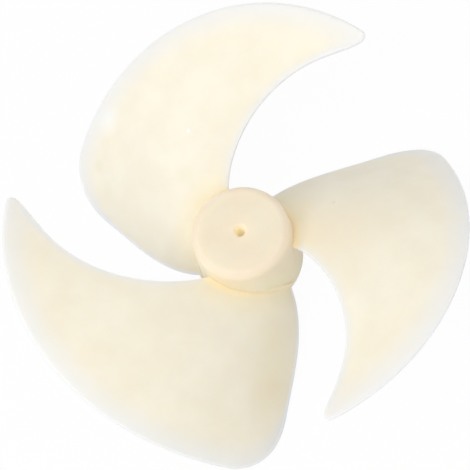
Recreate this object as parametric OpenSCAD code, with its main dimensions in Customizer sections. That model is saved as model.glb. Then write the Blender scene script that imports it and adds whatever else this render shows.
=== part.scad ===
// Axial fan blade of a small appliance: forward-swept blades and their hub, moulded in one piece.
// +Z runs along the motor shaft towards the closed front of the hub. The origin lies on the
// shaft's axis, in the plane of the hub's open rear end.
// A point of a blade is found by its share of the way across, from the leading edge at 0 to the
// trailing edge at 1, and by its radius. Seen from the front, the leading edges go first when the
// fan turns clockwise.

/* [Fan] */
// Diameter over the outer edges of the blades
fan_d = 160; // [130:1:200]
// Number of blades
blade_count = 3; // [2:1:4]
// Direction of the middle of the first blade's root, turned from +X
first_blade_angle = 132; // [0:1:360]

/* [Hub] */
// Diameter at the closed front, before its edge is rounded
hub_front_d = 35; // [30:0.5:38]
// Diameter at the open rear end
hub_rear_d = 39; // [38.5:0.5:46]
// Length along the shaft
hub_l = 29; // [26:0.5:36]
// Radius of the rounded front edge
hub_edge_r = 3; // [1.5:0.5:6]
// Thickness of the side wall
hub_wall_t = 2.4; // [1.8:0.1:4]
// Thickness of the closed front
hub_front_t = 2.6; // [1.8:0.1:5]

/* [Shaft socket] */
// Diameter of the shaft bore
bore_d = 3.2; // [2:0.1:4.4]
// Diameter of the bore's funnel on the front
funnel_d = 4.6; // [4.5:0.1:7.5]
// Depth of that funnel
funnel_l = 1.4; // [0.8:0.1:2.5]
// Diameter of the boss round the bore at its rear end
boss_d = 8.6; // [8:0.2:14]
// Slope of the boss and of the ribs, so that they leave the mould
draft_angle = 1; // [0.5:0.25:2]
// Number of ribs between the boss and the side wall
rib_count = 6; // [3:1:8]
// Thickness of a rib at its free edge
rib_t = 1.4; // [1:0.1:2.4]
// Distance of the ribs' free edges from the hub's rear end
rib_recess_l = 5; // [2:0.5:10]

/* [Blade outline] */
// Angle round the hub that a blade's root takes up
root_span_angle = 89.1; // [70:0.1:100]
// Angle by which the leading edge sweeps forward between the root and the tip
lead_sweep_angle = 61.1; // [40:0.1:70]
// Angle by which the trailing edge sweeps forward between the root and the outer edge
trail_sweep_angle = 42.3; // [35:0.1:55]
// Reach of the rounded tip along the leading edge, measured outwards
tip_round_h = 10.6; // [5:0.1:14]
// Reach of the rounded tip along the outer edge
tip_round_w = 8.5; // [5:0.5:16]
// Reach of the rounded rear corner along the trailing edge, measured outwards
corner_round_h = 19.4; // [10:0.1:26]
// Reach of the rounded rear corner along the outer edge
corner_round_w = 17.2; // [8:0.1:24]

/* [Blade heights] */
// Height of the leading edge at the hub, above the hub's rear end
lead_root_z = 20; // [16:0.5:22]
// Height of the leading edge at the tip
lead_tip_z = 48; // [36:0.1:56]
// Height of the trailing edge at the hub
trail_root_z = 2.4; // [2.4:0.1:4]
// Height of the trailing edge at the outer edge, before the corner is rounded
trail_tip_z = -9.8; // [-16:0.1:-6]
// Camber of the section at the hub: how far its middle stands proud of a straight ramp
camber_root = 2.8; // [0:0.1:5]
// Camber of the section at the outer edge
camber_tip = 22.8; // [14:0.1:28]

/* [Blade wall] */
// Thickness of a blade
blade_t = 2.2; // [1.9:0.1:3]
// Thickness at its edges
edge_t = 1.6; // [1:0.1:1.8]
// Distance over which the blade thins towards an edge
edge_taper_l = 7; // [3:0.5:12]
// Radius of the fillet between a blade and the hub
fillet_r = 1.5; // [0.8:0.1:2.5]

/* [Hidden] */

plastic = [0.95, 0.91, 0.79];

fan_r = fan_d / 2;
hub_front_r = hub_front_d / 2;
hub_rear_r = hub_rear_d / 2;
// Radius at which a blade's root is laid out
root_r = (hub_front_r + hub_rear_r) / 2;
// Radius of the outer edge on the blade's middle surface
edge_r = fan_r - edge_t / 2;

// How strongly each edge keeps its direction at the hub and at the outer edge. A pair of thirds
// and two thirds gives an even run.
lead_sweep_shares = [0.44, 0.58];
trail_sweep_shares = [0.745, 0.98];
lead_rise_shares = [0.505, 0.655];
trail_drop_shares = [0.765, 0.68];
// Leaning of the camber towards the trailing edge
camber_lean_share = 0.09;
// Share of the fillet's radius that lies within the hub's wall, so that it meets the wall at a slant
fillet_sink_share = 0.3;

outer_span_angle = root_span_angle + lead_sweep_angle - trail_sweep_angle;
outer_edge_l = outer_span_angle * PI / 180 * edge_r;
tip_share = tip_round_w / outer_edge_l;
corner_share = corner_round_w / outer_edge_l;

// Numbers of faces across the rounded tip, the plain part of the outer edge and the rounded rear
// corner, then up the root fillet and out over the rest of the span
tip_count = 6;
edge_count = 17;
corner_count = 7;
fillet_count = 3;
span_count = 12;
// Angles of the points round the nose of an edge, from the front face to the rear face
nose_angles = [45, 0, -45];
// Length of the small step that finds the blade's slope, as a share
slope_share = 0.001;
// Overrun of every cut
over = 0.5;

$fn = 96;

// Radius of the hub's side at a height
function hub_r(z) = hub_rear_r + (hub_front_r - hub_rear_r) * z / hub_l;

// A smooth run from a at share 0 to b at share 1, steered by a pair of shares
function run(a, b, s, shares) =
    a + (b - a) * (3 * shares[0] * s * (1 - s) ^ 2 + 3 * shares[1] * s ^ 2 * (1 - s) + s ^ 3);

function lead_a(s) =
    run(-root_span_angle / 2, -root_span_angle / 2 - lead_sweep_angle, s, lead_sweep_shares);
function trail_a(s) =
    run(root_span_angle / 2, root_span_angle / 2 - trail_sweep_angle, s, trail_sweep_shares);
function span_share(r) = (r - root_r) / (edge_r - root_r);

// Point of the blade's middle surface at a share of the way across and a radius
function blade_point(across, r) =
    let (s = span_share(r),
         a = lead_a(s) + (trail_a(s) - lead_a(s)) * across,
         z_lead = run(lead_root_z, lead_tip_z, s, lead_rise_shares),
         z_trail = run(trail_root_z, trail_tip_z, s, trail_drop_shares),
         bow = 4 * across * (1 - across) * (1 + camber_lean_share * (2 * across - 1)),
         camber = camber_root + (camber_tip - camber_root) * s)
    [r * cos(a), r * sin(a), z_lead + (z_trail - z_lead) * across + camber * bow];

// Direction square to the middle surface, on its front side
function blade_normal(across, r) =
    let (p = blade_point(across, r),
         outwards = blade_point(across, r + slope_share * fan_r) - p,
         rearwards = blade_point(across + slope_share, r) - p,
         n = cross(outwards, rearwards))
    n / norm(n);

// Half the wall's thickness: thinner near the edges, flared into a fillet at the hub
function half_wall(across, r, end_r, foot_r) =
    let (s = span_share(r),
         chord_l = (trail_a(s) - lead_a(s)) * PI / 180 * r,
         inset = min(across * chord_l, (1 - across) * chord_l, end_r - r),
         depth = max(0, min(1, inset / edge_taper_l)),
         clear = max(0, min(fillet_r, r - foot_r)))
    (edge_t + (blade_t - edge_t) * depth * (2 - depth)) / 2
        + fillet_r - sqrt(fillet_r ^ 2 - (fillet_r - clear) ^ 2);

// Columns of points from the leading to the trailing edge, each with its share of the way across
// and the radius at which it ends. The tip and the rear corner are quarter ellipses.
columns = concat(
    [for (k = [0:tip_count])
        let (a = 90 * k / tip_count)
        [tip_share * (1 - cos(a)), edge_r - tip_round_h * (1 - sin(a))]],
    [for (k = [1:edge_count - 1])
        [tip_share + (1 - tip_share - corner_share) * k / edge_count, edge_r]],
    [for (k = [corner_count:-1:0])
        let (a = 90 * k / corner_count)
        [1 - corner_share * (1 - cos(a)), edge_r - corner_round_h * (1 - sin(a))]]);

// Radii of one column's points: buried in the hub's wall, up the fillet, then out to the outline
function column_radii(across, end_r) =
    let (wall_r = hub_r(blade_point(across, root_r).z),
         foot_r = wall_r - fillet_sink_share * fillet_r,
         head_r = foot_r + fillet_r)
    concat(
        [wall_r - hub_wall_t / 2],
        [for (k = [0:fillet_count]) foot_r + fillet_r * (1 - cos(90 * k / fillet_count))],
        [for (k = [1:span_count])
            let (share = k / span_count)
            head_r + (end_r - head_r) * (share + sin(90 * share)) / 2]);

// One blade, drawn with the middle of its root towards +X
module blade() {
    last_col = len(columns) - 1;
    last_row = fillet_count + span_count + 1;
    rows = last_row + 1;
    radii = [for (c = columns) column_radii(c[0], c[1])];
    middle = [for (i = [0:last_col], r = radii[i]) blade_point(columns[i][0], r)];
    normals = [for (i = [0:last_col], r = radii[i]) blade_normal(columns[i][0], r)];
    halves = [for (i = [0:last_col], r = radii[i])
        half_wall(columns[i][0], r, columns[i][1], radii[i][1])];
    // The free outline, up the leading edge, along the outer edge and down the trailing edge
    outline = concat(
        [for (j = [0:last_row]) j],
        [for (i = [1:last_col]) i * rows + last_row],
        [for (j = [last_row - 1:-1:0]) last_col * rows + j]);
    last_out = len(outline) - 1;
    // Noses round its edge. Within the fillet they are held round the hub, so that its foot stays
    // in the hub's wall.
    noses = [for (b = [0:last_out])
        let (p = outline[b],
             ahead = middle[outline[min(b + 1, last_out)]] - middle[outline[max(b - 1, 0)]],
             side = cross(ahead, normals[p]),
             out = side / norm(side),
             spoke = [middle[p].x, middle[p].y, 0] / norm([middle[p].x, middle[p].y]),
             fillet_share = (halves[p] - edge_t / 2) / fillet_r,
             hold = b < rows || b > last_out - rows ? fillet_share : 0,
             nose = out - spoke * (out * spoke) * hold)
        for (a = nose_angles) middle[p] + halves[p] * (nose * cos(a) + normals[p] * sin(a))];

    count = len(middle);
    nose_rows = len(nose_angles);
    // Point numbers along the section of the rim at a place on the outline
    function rim(b) = concat(
        [outline[b]],
        [for (k = [0:nose_rows - 1]) 2 * count + b * nose_rows + k],
        [count + outline[b]]);
    function quad(a, b, c, d) = [[a, b, c], [a, c, d]];

    faces = concat(
        [for (i = [0:last_col - 1], j = [0:last_row - 1], f = let (p = i * rows + j)
            quad(p, p + rows, p + rows + 1, p + 1)) f],
        [for (i = [0:last_col - 1], j = [0:last_row - 1], f = let (p = count + i * rows + j)
            quad(p, p + 1, p + rows + 1, p + rows)) f],
        [for (b = [0:last_out - 1], k = [0:nose_rows], f = let (here = rim(b), next = rim(b + 1))
            quad(here[k], next[k], next[k + 1], here[k + 1])) f],
        [for (i = [0:last_col - 1], f = let (p = i * rows)
            quad(p, count + p, count + p + rows, p + rows)) f],
        [for (k = [1:nose_rows]) [rim(0)[0], rim(0)[k], rim(0)[k + 1]]],
        [for (k = [1:nose_rows]) [rim(last_out)[0], rim(last_out)[k + 1], rim(last_out)[k]]]);

    polyhedron(
        concat(
            [for (p = [0:count - 1]) middle[p] + normals[p] * halves[p]],
            [for (p = [0:count - 1]) middle[p] - normals[p] * halves[p]],
            noses),
        faces, convexity = 6);
}

// Solid of the hub's outline, drawn in by a wall, with a rounded front edge
module hub_form(wall_t, front_t, round_r) {
    slope_angle = atan((hub_rear_r - hub_front_r) / hub_l);
    top_z = hub_l - front_t;
    mid_z = top_z - round_r;
    mid_x = hub_r(mid_z) - wall_t - round_r / cos(slope_angle);
    rotate_extrude() {
        polygon([
            [0, 0],
            [hub_rear_r - wall_t, 0],
            [mid_x + round_r * cos(slope_angle), mid_z + round_r * sin(slope_angle)],
            [mid_x, mid_z],
            [mid_x, top_z],
            [0, top_z]]);
        translate([mid_x, mid_z]) circle(round_r);
    }
}

// Boss that holds the shaft, growing towards the front
module boss() {
    cylinder(h = hub_l - hub_front_t, d1 = boss_d,
        d2 = boss_d + 2 * (hub_l - hub_front_t) * tan(draft_angle));
}

// Rib from the boss to the side wall, growing towards the front
module rib() {
    rib_l = hub_l - hub_front_t - rib_recess_l;
    front_t = rib_t + 2 * rib_l * tan(draft_angle);
    translate([0, 0, rib_recess_l])
        rotate([90, 0, 90])
            linear_extrude(hub_rear_r)
                polygon([
                    [-rib_t / 2, 0],
                    [rib_t / 2, 0],
                    [front_t / 2, rib_l],
                    [-front_t / 2, rib_l]]);
}

// Bore for the shaft, with a funnel on the front
module shaft_bore() {
    translate([0, 0, -over]) cylinder(h = hub_l + 2 * over, d = bore_d);
    translate([0, 0, hub_l - funnel_l])
        cylinder(h = funnel_l, d1 = bore_d, d2 = funnel_d);
}

module hub() {
    difference() {
        hub_form(0, 0, hub_edge_r);
        shaft_bore();
        difference() {
            hub_form(hub_wall_t, hub_front_t, hub_edge_r - hub_wall_t / 2);
            boss();
            for (k = [0:rib_count - 1])
                rotate([0, 0, first_blade_angle + 360 / rib_count * k]) rib();
        }
    }
}

module fan_blade() {
    color(plastic) union() {
        hub();
        for (k = [0:blade_count - 1])
            rotate([0, 0, first_blade_angle - 360 / blade_count * k]) blade();
    }
}

fan_blade();
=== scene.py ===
import math

import bmesh
import bpy
from mathutils import Matrix, Vector


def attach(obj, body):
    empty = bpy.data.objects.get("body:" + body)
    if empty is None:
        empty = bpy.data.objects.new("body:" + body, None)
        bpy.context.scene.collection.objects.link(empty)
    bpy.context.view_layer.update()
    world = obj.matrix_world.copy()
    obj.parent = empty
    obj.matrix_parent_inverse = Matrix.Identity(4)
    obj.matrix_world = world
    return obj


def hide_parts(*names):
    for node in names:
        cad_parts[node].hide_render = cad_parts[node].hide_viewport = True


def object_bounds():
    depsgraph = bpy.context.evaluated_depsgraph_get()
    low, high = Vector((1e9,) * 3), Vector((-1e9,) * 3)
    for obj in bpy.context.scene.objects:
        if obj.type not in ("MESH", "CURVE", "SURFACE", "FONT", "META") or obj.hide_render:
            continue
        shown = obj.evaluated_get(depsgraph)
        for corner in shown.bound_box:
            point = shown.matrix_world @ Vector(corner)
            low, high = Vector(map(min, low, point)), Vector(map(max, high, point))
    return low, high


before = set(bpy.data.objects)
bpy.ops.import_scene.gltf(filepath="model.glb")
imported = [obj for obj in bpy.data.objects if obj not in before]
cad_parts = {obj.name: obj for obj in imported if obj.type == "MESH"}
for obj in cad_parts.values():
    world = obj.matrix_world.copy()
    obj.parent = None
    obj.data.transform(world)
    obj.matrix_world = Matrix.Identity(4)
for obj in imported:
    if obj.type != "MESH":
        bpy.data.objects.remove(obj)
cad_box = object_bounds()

# The camera looks down on the front of the fan, tilted off the shaft's axis and rolled, from
# half a metre away, as the photograph was taken.
camera_distance = 0.5002
camera_tilt = math.radians(21.81)
camera_roll = math.radians(24.26)
camera_turn = math.radians(0.51)
# How far the shaft's axis stands off the middle of the picture
axis_right = 0.00606
axis_up = -0.00841
camera_lens = 102.65
sensor_width = 36
camera_near = 0.01

turn = Matrix.Rotation(camera_turn, 3, "Z")
level_right = turn @ Vector((1, 0, 0))
level_up = turn @ Vector((0, math.cos(camera_tilt), math.sin(camera_tilt)))
view_back = turn @ Vector((0, -math.sin(camera_tilt), math.cos(camera_tilt)))
view_right = math.cos(camera_roll) * level_right - math.sin(camera_roll) * level_up
view_up = math.sin(camera_roll) * level_right + math.cos(camera_roll) * level_up

camera_data = bpy.data.cameras.new("camera")
camera_data.lens = camera_lens
camera_data.sensor_width = sensor_width
camera_data.clip_start = camera_near
camera = bpy.data.objects.new("camera", camera_data)
camera_place = camera_distance * view_back - axis_right * view_right - axis_up * view_up
camera.matrix_world = Matrix.Translation(camera_place) @ Matrix(
    (view_right, view_up, view_back)).transposed().to_4x4()
bpy.context.scene.collection.objects.link(camera)
bpy.context.scene.camera = camera

# Hub: a drafted cup with a closed, rounded front, cored out from the rear round the boss that
# grips the motor shaft. It is moulded in one shot with the blades.
hub_front_radius = 0.0175
hub_rear_radius = 0.0195
hub_length = 0.029
hub_edge_radius = 0.003
hub_wall = 0.0024
hub_front_wall = 0.0026
bore_radius = 0.0016
funnel_radius = 0.0023
funnel_depth = 0.0014
boss_radius = 0.0043
cavity_round = 0.0018
boss_round = 0.0008
funnel_round = 0.0005
rear_round = 0.0003
mould_draft = math.radians(1)
hub_steps = 144
merge_distance = 1e-6


def hub_radius(z):
    return hub_rear_radius + (hub_front_radius - hub_rear_radius) * z / hub_length


def link_mesh(bm, name):
    mesh = bpy.data.meshes.new(name)
    bm.to_mesh(mesh)
    bm.free()
    piece = bpy.data.objects.new(name, mesh)
    bpy.context.scene.collection.objects.link(piece)
    return piece


def ring_edges(bm, radius, z, slack=0.0001):
    """The edges of a turned shape that lie on one ring."""
    def on_ring(vert):
        return abs(vert.co.xy.length - radius) < slack and abs(vert.co.z - z) < slack
    return [e for e in bm.edges if on_ring(e.verts[0]) and on_ring(e.verts[1])]


cavity_top = hub_length - hub_front_wall
cavity_radius = hub_radius(cavity_top) - hub_wall
boss_front_radius = boss_radius + cavity_top * math.tan(mould_draft)
# Half of the hub's section, turned once round the shaft's axis
hub_section = [
    (hub_rear_radius, 0),
    (hub_front_radius, hub_length),
    (funnel_radius, hub_length),
    (bore_radius, hub_length - funnel_depth),
    (bore_radius, 0),
    (boss_radius, 0),
    (boss_front_radius, cavity_top),
    (cavity_radius, cavity_top),
    (hub_rear_radius - hub_wall, 0)]
# Rings of the hub that are rounded: where each lies, its rounding and the facets across it
hub_rounds = [
    (hub_front_radius, hub_length, hub_edge_radius, 10),
    (cavity_radius, cavity_top, cavity_round, 6),
    (boss_front_radius, cavity_top, boss_round, 4),
    (funnel_radius, hub_length, funnel_round, 4),
    (boss_radius, 0, rear_round, 3),
    (hub_rear_radius, 0, rear_round, 3),
    (hub_rear_radius - hub_wall, 0, rear_round, 3)]

bm = bmesh.new()
section = [bm.verts.new((x, 0, z)) for x, z in hub_section]
loop = [bm.edges.new((a, b)) for a, b in zip(section, section[1:] + section[:1])]
bmesh.ops.spin(bm, geom=section + loop, cent=(0, 0, 0), axis=(0, 0, 1), angle=math.tau,
               steps=hub_steps, use_merge=True)
bmesh.ops.remove_doubles(bm, verts=bm.verts[:], dist=merge_distance)
for x, z, round_radius, segments in hub_rounds:
    bmesh.ops.bevel(bm, geom=ring_edges(bm, x, z), offset=round_radius, segments=segments,
                    profile=0.5, affect="EDGES", material=-1, clamp_overlap=False)
bmesh.ops.recalc_face_normals(bm, faces=bm.faces[:])
fan = link_mesh(bm, "fan")

# Ribs: thin walls inside the hub, of the same moulding, that tie the boss to the side wall. They
# stop short of the rear end and grow thicker towards the front, so that they leave the mould.
rib_count = 6
rib_thickness = 0.0014
rib_recess = 0.005
rib_inner = 0.003
first_blade_turn = math.radians(132)

rib_length = hub_length - hub_front_wall / 2 - rib_recess
rib_outer = hub_front_radius - hub_wall / 2
ribs = bmesh.new()
for k in range(rib_count):
    cube = bmesh.ops.create_cube(ribs, size=1)["verts"]
    bmesh.ops.scale(ribs, vec=(rib_outer - rib_inner, rib_thickness, rib_length), verts=cube)
    bmesh.ops.translate(ribs, vec=((rib_outer + rib_inner) / 2, 0, rib_recess + rib_length / 2),
                        verts=cube)
    for vert in cube:
        if vert.co.z > rib_recess + rib_length / 2:
            vert.co.y += math.copysign(rib_length * math.tan(mould_draft), vert.co.y)
    bmesh.ops.rotate(ribs, cent=(0, 0, 0), verts=cube,
                     matrix=Matrix.Rotation(first_blade_turn + math.tau / rib_count * k, 3, "Z"))

# Blades: three alike, thin cambered walls of the same moulding that sweep forward and stand proud
# of the hub's front. Each is laid out from its leading to its trailing edge and from the hub
# outwards, thins towards its edges and flares into a fillet at the hub.
blade_count = 3
fan_radius = 0.08
edge_thickness = 0.0016
blade_thickness = 0.0022
taper_length = 0.007
outline_radius = fan_radius - edge_thickness / 2
root_span = math.radians(89.1)
lead_sweep = math.radians(61.1)
trail_sweep = math.radians(42.3)
tip_height, tip_width = 0.0106, 0.0085
corner_height, corner_width = 0.0194, 0.0172
lead_root_z, lead_tip_z = 0.02, 0.048
trail_root_z, trail_tip_z = 0.0024, -0.0098
camber_root, camber_tip = 0.0028, 0.0228
camber_lean = 0.09
lead_sweep_pull, trail_sweep_pull = (0.44, 0.58), (0.745, 0.98)
lead_rise_pull, trail_drop_pull = (0.505, 0.655), (0.765, 0.68)
fillet_radius = 0.0015
# Share of the fillet that lies inside the hub's wall
fillet_sink = 0.3
# Faces across the rounded tip, the plain outer edge and the rounded corner
tip_faces, edge_faces, corner_faces = 14, 56, 16
# Faces up the fillet, the first of them buried in the hub's wall, and from there outwards
fillet_faces, reach_faces = 9, 66
# How much the rows crowd towards the outer edge: 0 spaces them evenly
row_crowding = 0.6
rim_cuts = 3
# Small share of the blade, across it or outwards, over which the slope of its skin is taken
slope_step = 1e-4

blade_pitch = math.tau / blade_count
root_radius = (hub_front_radius + hub_rear_radius) / 2
outer_edge_length = (root_span + lead_sweep - trail_sweep) * outline_radius
tip_share = tip_width / outer_edge_length
corner_share = corner_width / outer_edge_length
across_faces = tip_faces + edge_faces + corner_faces
span_faces = fillet_faces + reach_faces


def smooth_run(start, end, s, pull):
    """A cubic run from start to end: pull is how far along its two inner points stand, as shares."""
    bend = 3 * pull[0] * s * (1 - s) ** 2 + 3 * pull[1] * s ** 2 * (1 - s) + s ** 3
    return start + (end - start) * bend


def edge_turns(radius):
    """The turns of the leading and the trailing edge about the axis, at a radius."""
    s = (radius - root_radius) / (outline_radius - root_radius)
    return (smooth_run(-root_span / 2, -root_span / 2 - lead_sweep, s, lead_sweep_pull),
            smooth_run(root_span / 2, root_span / 2 - trail_sweep, s, trail_sweep_pull))


def middle_point(across, radius):
    """A point of the middle surface: across is 0 at the leading edge and 1 at the trailing edge."""
    s = (radius - root_radius) / (outline_radius - root_radius)
    lead, trail = edge_turns(radius)
    a = lead + (trail - lead) * across
    z_lead = smooth_run(lead_root_z, lead_tip_z, s, lead_rise_pull)
    z_trail = smooth_run(trail_root_z, trail_tip_z, s, trail_drop_pull)
    bow = 4 * across * (1 - across) * (1 + camber_lean * (2 * across - 1))
    camber = camber_root + (camber_tip - camber_root) * s
    return Vector((radius * math.cos(a), radius * math.sin(a),
                   z_lead + (z_trail - z_lead) * across + camber * bow))


def end_radius(across):
    """The radius at which the blade ends: quarter ellipses round the tip and the rear corner."""
    if across < tip_share:
        return outline_radius - tip_height * (1 - math.sqrt(1 - (1 - across / tip_share) ** 2))
    if across > 1 - corner_share:
        rest = 1 - (1 - across) / corner_share
        return outline_radius - corner_height * (1 - math.sqrt(max(0, 1 - rest ** 2)))
    return outline_radius


def across_at(column):
    """Share of the way across of a column, with columns crowded towards the two rounded ends."""
    k = column * across_faces
    if k <= tip_faces:
        return tip_share * (1 - math.cos(math.pi / 2 * k / tip_faces))
    if k >= tip_faces + edge_faces:
        return 1 - corner_share * (1 - math.cos(math.pi / 2 * (across_faces - k) / corner_faces))
    return tip_share + (1 - tip_share - corner_share) * (k - tip_faces) / edge_faces


def wall_radius(across):
    return hub_radius(middle_point(across, root_radius).z)


def foot_radius(across):
    return wall_radius(across) - fillet_sink * fillet_radius


def radius_at(across, row):
    """Radius of a row: the first in the hub's wall, some up the fillet, and the rest spread out."""
    k = row * span_faces
    foot = foot_radius(across)
    if k < 1:
        inside = wall_radius(across) - hub_wall / 2
        return inside + (foot - inside) * k
    if k < fillet_faces:
        return foot + fillet_radius * (1 - math.cos(math.pi / 2 * (k - 1) / (fillet_faces - 1)))
    rest = (k - fillet_faces) / reach_faces
    head = foot + fillet_radius
    crowded = (1 - row_crowding) * rest + row_crowding * math.sin(math.pi / 2 * rest)
    return head + (end_radius(across) - head) * crowded


def edge_gap(across, radius):
    """Distance from the nearest free edge of the blade."""
    lead, trail = edge_turns(radius)
    chord = (trail - lead) * radius
    return max(0, min(across * chord, (1 - across) * chord, end_radius(across) - radius))


def fillet_flare(across, radius):
    left = fillet_radius - max(0, min(fillet_radius, radius - foot_radius(across)))
    return fillet_radius - math.sqrt(fillet_radius ** 2 - left ** 2)


def half_wall(across, radius):
    depth = min(1, edge_gap(across, radius) / taper_length)
    wall = edge_thickness + (blade_thickness - edge_thickness) * depth * (2 - depth)
    return wall / 2 + fillet_flare(across, radius)


def blade_place(column, row):
    across = across_at(column)
    return middle_point(across, radius_at(across, row))


def blade_surface(column, row, side):
    """A point of the skin: side is 1 on the front, -1 on the rear, and between them on the rim."""
    across = across_at(column)
    radius = radius_at(across, row)
    middle = middle_point(across, radius)
    outwards = middle_point(across, radius + slope_step * outline_radius) - middle
    rearwards = middle_point(across + slope_step, radius) - middle
    normal = outwards.cross(rearwards).normalized()
    lean = math.radians(90) * side
    out = Vector((0, 0, 0))
    if abs(side) < 1:
        if column == 0:
            out = outwards.cross(normal).normalized()
        elif column == 1:
            out = normal.cross(outwards).normalized()
        elif row == 1:
            along = blade_place(column + slope_step, row) - blade_place(column - slope_step, row)
            out = along.cross(normal).normalized()
    if column in (0, 1):
        # Held round the hub within the fillet, so that the fillet's foot stays in the hub's wall
        spoke = Vector((middle.x, middle.y, 0)).normalized()
        out -= spoke * out.dot(spoke) * fillet_flare(across, radius) / fillet_radius
    return middle + half_wall(across, radius) * (out * math.cos(lean) + normal * math.sin(lean))


# The first blade is a flat grid for its front and a copy for its rear, joined round the rim. Each
# vertex then goes to its place on the skin, and the other two blades are turned copies.
grid_gap = 0.01
bm = bmesh.new()
column_of = bm.verts.layers.float.new("column")
row_of = bm.verts.layers.float.new("row")
side_of = bm.verts.layers.float.new("side")
bmesh.ops.create_grid(bm, x_segments=across_faces, y_segments=span_faces, size=0.5)
for vert in bm.verts:
    vert[column_of] = vert.co.x + 0.5
    vert[row_of] = vert.co.y + 0.5
    vert[side_of] = 1
rear = bmesh.ops.duplicate(bm, geom=bm.faces[:])["geom"]
rear_verts = [g for g in rear if isinstance(g, bmesh.types.BMVert)]
for vert in rear_verts:
    vert[side_of] = -1
bmesh.ops.translate(bm, vec=(0, 0, -grid_gap), verts=rear_verts)
bmesh.ops.bridge_loops(bm, edges=[e for e in bm.edges if e.is_boundary])
rim = [e for e in bm.edges if e.verts[0][side_of] != e.verts[1][side_of]]
bmesh.ops.subdivide_edges(bm, edges=rim, cuts=rim_cuts)
for vert in bm.verts:
    column = min(1, max(0, round(vert[column_of] * across_faces) / across_faces))
    row = min(1, max(0, round(vert[row_of] * span_faces) / span_faces))
    side = round(vert[side_of] * (rim_cuts + 1) / 2) * 2 / (rim_cuts + 1)
    vert.co = blade_surface(column, row, side)
bmesh.ops.recalc_face_normals(bm, faces=bm.faces[:])
bmesh.ops.rotate(bm, cent=(0, 0, 0), matrix=Matrix.Rotation(first_blade_turn, 3, "Z"),
                 verts=bm.verts[:])
one_blade = bm.verts[:] + bm.edges[:] + bm.faces[:]
for k in range(1, blade_count):
    copy = bmesh.ops.duplicate(bm, geom=one_blade)["geom"]
    bmesh.ops.rotate(bm, cent=(0, 0, 0), matrix=Matrix.Rotation(-blade_pitch * k, 3, "Z"),
                     verts=[g for g in copy if isinstance(g, bmesh.types.BMVert)])
blades = link_mesh(bm, "blades")
rib_piece = link_mesh(ribs, "ribs")


def unite(target, other):
    join = target.modifiers.new("join", "BOOLEAN")
    join.operation = "UNION"
    join.solver = "EXACT"
    join.object = other
    with bpy.context.temp_override(object=target, active_object=target):
        bpy.ops.object.modifier_apply(modifier=join.name)
    bpy.data.objects.remove(other)


unite(fan, rib_piece)
unite(fan, blades)

# Distances from the blades' outer edge, leading edge and nearest edge, kept on the one-piece mesh
# for the plastic's colour. They are below zero on the rounded rim.
crease_angle = math.radians(40)
gaps = {"outer_gap": [], "lead_gap": [], "edge_gap": []}
for vert in fan.data.vertices:
    radius = vert.co.xy.length
    outer_gap = lead_gap = trail_gap = outline_radius
    if radius > root_radius + fillet_radius:
        lead, trail = edge_turns(radius)
        middle_turn = (lead + trail) / 2
        off_middle = math.atan2(vert.co.y, vert.co.x) - first_blade_turn - middle_turn
        turned = (off_middle + blade_pitch / 2) % blade_pitch - blade_pitch / 2 + middle_turn
        across = min(1, max(0, (turned - lead) / (trail - lead)))
        outer_gap = end_radius(across) - radius
        lead_gap = (turned - lead) * radius
        trail_gap = (trail - turned) * radius
    gaps["outer_gap"].append(outer_gap)
    gaps["lead_gap"].append(lead_gap)
    gaps["edge_gap"].append(min(outer_gap, lead_gap, trail_gap))
for name, values in gaps.items():
    fan.data.attributes.new(name, "FLOAT", "POINT").data.foreach_set("value", values)
fan.data.polygons.foreach_set("use_smooth", [True] * len(fan.data.polygons))
fan.data.set_sharp_from_angle(angle=crease_angle)

# Plastic: natural ivory moulding plastic, semi-gloss and slightly translucent, tan where the hub
# is thick and paler where the blades run out thin. Some light and shade is painted into its colour:
# a glow in the hub, highlights along the rims and on the first blade, and shade on the second and
# third blades and at the thin edges.
# The glows are painted light: emission standing in for light that comes through the plastic
bore_tan, bore_glow = (0.92, 0.82, 0.60, 1), (0.12, 0.11, 0.08, 1)
face_tan, face_glow = (0.99, 0.825, 0.65, 1), (0.015, 0.002, 0.001, 1)
edge_tan = (0.94, 0.785, 0.64, 1)
wall_tan, wall_glow = (0.98, 0.825, 0.60, 1), (0.045, 0.032, 0.016, 1)
root_ivory = (0.92, 0.835, 0.67, 1)
blade_ivory = (0.92, 0.85, 0.73, 1)
cloud_ivory = (0.965, 0.96, 0.948, 1)
# Grey of the thin edges, partly their own tone and partly painted shade, and the rounded rim's
# painted highlight
thin_grey_shade = (0.82, 0.83, 0.82, 1)
rim_painted_highlight = (0.89, 0.895, 0.90, 1)
# The colours' places: in the bore, on the funnel, on the face's rounded edge and past the fillet
bore_reach = 1.05 * bore_radius
funnel_reach = 1.1 * funnel_radius
hub_edge_middle = hub_front_radius - hub_edge_radius / 2
fillet_end = root_radius + 2 * fillet_radius
ramp_radius = 0.03
# How far the paler margins reach in from the outer and the leading edge, and down the rim
outer_margin, lead_margin, rim_depth = 0.011, 0.004, 0.0003

plastic = bpy.data.materials.new("natural_plastic")
plastic.use_nodes = True
nodes, links = plastic.node_tree.nodes, plastic.node_tree.links
shader = nodes["Principled BSDF"]
shader.inputs["Roughness"].default_value = 0.5
shader.inputs["IOR"].default_value = 1.49
shader.inputs["Subsurface Weight"].default_value = 1.0
shader.inputs["Subsurface Radius"].default_value = (1.0, 0.9, 0.75)
shader.inputs["Subsurface Scale"].default_value = 0.004

place = nodes.new("ShaderNodeTexCoord")
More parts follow.
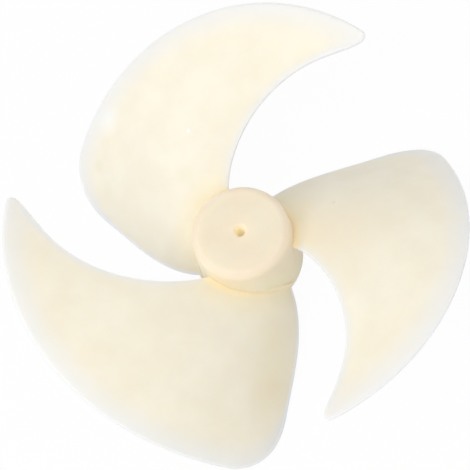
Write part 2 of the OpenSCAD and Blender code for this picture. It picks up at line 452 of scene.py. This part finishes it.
# Colour by the distance from the shaft's axis: the bore is the deepest tan, then the hub's side
# wall and its face, and the blades are ivory
flat = nodes.new("ShaderNodeVectorMath")
flat.operation = "MULTIPLY"
flat.inputs[1].default_value = (1, 1, 0)
links.new(place.outputs["Object"], flat.inputs[0])
reach = nodes.new("ShaderNodeVectorMath")
reach.operation = "LENGTH"
links.new(flat.outputs["Vector"], reach.inputs[0])
spread = nodes.new("ShaderNodeMapRange")
spread.inputs["From Max"].default_value = ramp_radius
links.new(reach.outputs["Value"], spread.inputs["Value"])
body_ramp = nodes.new("ShaderNodeValToRGB")
stops = body_ramp.color_ramp.elements
stops[0].position = bore_reach / ramp_radius
stops[0].color = bore_tan
stops[1].position = 1
stops[1].color = blade_ivory
for radius, tan in ((funnel_reach, face_tan), (hub_front_radius - hub_edge_radius, face_tan),
                    (hub_edge_middle, edge_tan), (root_radius, wall_tan), (fillet_end, root_ivory)):
    stops.new(radius / ramp_radius).color = tan
links.new(spread.outputs["Result"], body_ramp.inputs["Fac"])
# Faint clouding of the plastic all over
cloud = nodes.new("ShaderNodeTexNoise")
cloud.inputs["Scale"].default_value = 90
cloud.inputs["Detail"].default_value = 4
links.new(place.outputs["Object"], cloud.inputs["Vector"])
cloud_ramp = nodes.new("ShaderNodeValToRGB")
cloud_ramp.color_ramp.elements[0].position = 0.35
cloud_ramp.color_ramp.elements[0].color = cloud_ivory
cloud_ramp.color_ramp.elements[1].position = 0.65
links.new(cloud.outputs["Fac"], cloud_ramp.inputs["Fac"])
body = nodes.new("ShaderNodeMix")
body.data_type = "RGBA"
body.blend_type = "MULTIPLY"
body.inputs["Factor"].default_value = 1
links.new(body_ramp.outputs["Color"], body.inputs["A"])
links.new(cloud_ramp.outputs["Color"], body.inputs["B"])
# Painted glow: an emission that stands in for light coming through the plastic from its far side,
# in the bore, faintly on the hub's face and at its side wall
glow_ramp = nodes.new("ShaderNodeValToRGB")
stops = glow_ramp.color_ramp.elements
stops[0].position = bore_reach / ramp_radius
stops[0].color = bore_glow
stops[1].position = fillet_end / ramp_radius
stops[1].color = (0, 0, 0, 1)
for radius, glow in ((funnel_radius, face_glow), (hub_edge_middle, face_glow),
                     (root_radius, wall_glow)):
    stops.new(radius / ramp_radius).color = glow
links.new(spread.outputs["Result"], glow_ramp.inputs["Fac"])
links.new(glow_ramp.outputs["Color"], shader.inputs["Emission Color"])
shader.inputs["Emission Strength"].default_value = 1


def tint_near(distance, start, end, strength, tint, colour):
    """Mix a tint in, at its strength where the distance is under start and not at all past end."""
    near = nodes.new("ShaderNodeMapRange")
    near.interpolation_type = "SMOOTHSTEP"
    near.inputs["From Min"].default_value = start
    near.inputs["From Max"].default_value = end
    near.inputs["To Min"].default_value = strength
    near.inputs["To Max"].default_value = 0
    links.new(distance, near.inputs["Value"])
    mixed = nodes.new("ShaderNodeMix")
    mixed.data_type = "RGBA"
    mixed.inputs["B"].default_value = tint
    links.new(near.outputs["Result"], mixed.inputs["Factor"])
    links.new(colour, mixed.inputs["A"])
    return mixed.outputs["Result"]


colour = body.outputs["Result"]
# Faint marks of handling and moulding, and painted light: a painted highlight along the first
# blade's outer edge, painted shade near the second blade's root and over the third blade's steep
# trailing part. For each: on which blade, at what share of the way across, how far from the shaft's
# axis, and each one's reach, strength and colour
marks_and_painted_light = [
    (0, 0.89, 0.0695, 0.0045, 0.7, (0.83, 0.79, 0.65, 1)),
    (0, 0.42, 0.0325, 0.0055, 0.6, (0.85, 0.81, 0.65, 1)),
    (0, 0.37, 0.0435, 0.0012, 0.9, (0.97, 0.97, 0.96, 1)),
    # painted highlight: a white sheen along the first blade's outer edge
    (0, 0.79, 0.0740, 0.0085, 0.7, (0.97, 0.96, 0.90, 1)),
    (1, 0.57, 0.0350, 0.0012, 0.3, (0.55, 0.48, 0.36, 1)),
    # painted shade: a broad tan patch near the second blade's root, where its surface bends
    (1, 0.27, 0.0335, 0.0300, 0.7, (0.86, 0.76, 0.615, 1)),
    # painted shade: two tan patches over the third blade's steep trailing part
    (2, 0.93, 0.0510, 0.0160, 0.7, (0.83, 0.74, 0.57, 1)),
    (2, 0.88, 0.0360, 0.0150, 0.5, (0.84, 0.75, 0.57, 1))]
# The front skin stands this far above the blade's middle surface, along the shaft
skin_rise = 0.0013
for blade, across, radius, mark_reach, strength, tint in marks_and_painted_light:
    blade_turn = Matrix.Rotation(first_blade_turn - blade_pitch * blade, 3, "Z")
    spot = blade_turn @ (middle_point(across, radius) + Vector((0, 0, skin_rise)))
    away = nodes.new("ShaderNodeVectorMath")
    away.operation = "DISTANCE"
    away.inputs[1].default_value = spot
    links.new(place.outputs["Object"], away.inputs[0])
    colour = tint_near(away.outputs["Value"], 0, mark_reach, strength, tint, colour)
# Paler and greyer where the blade runs out thin, partly the thin plastic's own tone and partly
# painted shade of what lies behind it, and a painted highlight along the rounded rim
for name, start, end, strength, tint in (
        ("outer_gap", 0, outer_margin, 0.75, thin_grey_shade),
        ("lead_gap", 0, lead_margin, 0.4, thin_grey_shade),
        ("edge_gap", -rim_depth, 0, 0.85, rim_painted_highlight)):
    gap = nodes.new("ShaderNodeAttribute")
    gap.attribute_name = name
    colour = tint_near(gap.outputs["Fac"], start, end, strength, tint, colour)
links.new(colour, shader.inputs["Base Color"])
# Fine grain of the moulded skin
grain = nodes.new("ShaderNodeTexNoise")
grain.inputs["Scale"].default_value = 900
grain.inputs["Detail"].default_value = 2
links.new(place.outputs["Object"], grain.inputs["Vector"])
bump = nodes.new("ShaderNodeBump")
bump.inputs["Strength"].default_value = 0.05
bump.inputs["Distance"].default_value = 0.0002
links.new(grain.outputs["Fac"], bump.inputs["Height"])
links.new(bump.outputs["Normal"], shader.inputs["Normal"])

fan.data.materials.append(plastic)
fan.name = "fan_one_piece"
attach(fan, "root")
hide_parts("fan_blade")

# Floor and backdrop: one pale sheet under the fan, white to the camera, which still takes the
# fan's soft shadow.
floor_size = 6
floor_white = 0.96
bm = bmesh.new()
bmesh.ops.create_grid(bm, x_segments=1, y_segments=1, size=floor_size / 2)
bmesh.ops.translate(bm, vec=(0, 0, cad_box[0][2]), verts=bm.verts[:])
floor = link_mesh(bm, "floor")
paper = bpy.data.materials.new("floor_paper")
paper.use_nodes = True
nodes, links = paper.node_tree.nodes, paper.node_tree.links
nodes["Principled BSDF"].inputs["Base Color"].default_value = (0.85, 0.85, 0.85, 1)
nodes["Principled BSDF"].inputs["Roughness"].default_value = 0.9
white = nodes.new("ShaderNodeEmission")
rays = nodes.new("ShaderNodeLightPath")
seen = rays.outputs["Is Camera Ray"]
for ray in ("Is Glossy Ray", "Is Transmission Ray"):
    either = nodes.new("ShaderNodeMath")
    either.operation = "MAXIMUM"
    links.new(seen, either.inputs[0])
    links.new(rays.outputs[ray], either.inputs[1])
    seen = either.outputs["Value"]
whiteness = nodes.new("ShaderNodeMath")
whiteness.operation = "MULTIPLY"
whiteness.inputs[1].default_value = floor_white
links.new(seen, whiteness.inputs[0])
blend = nodes.new("ShaderNodeMixShader")
links.new(whiteness.outputs["Value"], blend.inputs["Fac"])
links.new(nodes["Principled BSDF"].outputs["BSDF"], blend.inputs[1])
links.new(white.outputs["Emission"], blend.inputs[2])
links.new(blend.outputs["Shader"], nodes["Material Output"].inputs["Surface"])
floor.data.materials.append(paper)

# Light: a large soft box a little to the left of the camera, a smaller and weaker one far out on
# the same side, and a white room all round.
room_strength = 0.69


def soft_box(name, right, up, back, size, power):
    light = bpy.data.lights.new(name, "AREA")
    light.size = size
    light.energy = power
    lamp = bpy.data.objects.new(name, light)
    lamp_place = right * view_right + up * view_up + back * view_back
    lamp.matrix_world = Matrix.Translation(lamp_place) @ lamp_place.to_track_quat(
        "Z", "Y").to_matrix().to_4x4()
    bpy.context.scene.collection.objects.link(lamp)


soft_box("key_light", right=-0.28, up=-0.02, back=1.1, size=1.0, power=4.1)
soft_box("side_light", right=-1.0, up=-0.1, back=0.75, size=0.5, power=2.2)
world = bpy.data.worlds.new("room")
bpy.context.scene.world = world
world.use_nodes = True
world.node_tree.nodes["Background"].inputs["Color"].default_value = (1, 1, 1, 1)
world.node_tree.nodes["Background"].inputs["Strength"].default_value = room_strength

bpy.context.scene.view_settings.view_transform = "Standard"
bpy.context.view_layer.update()
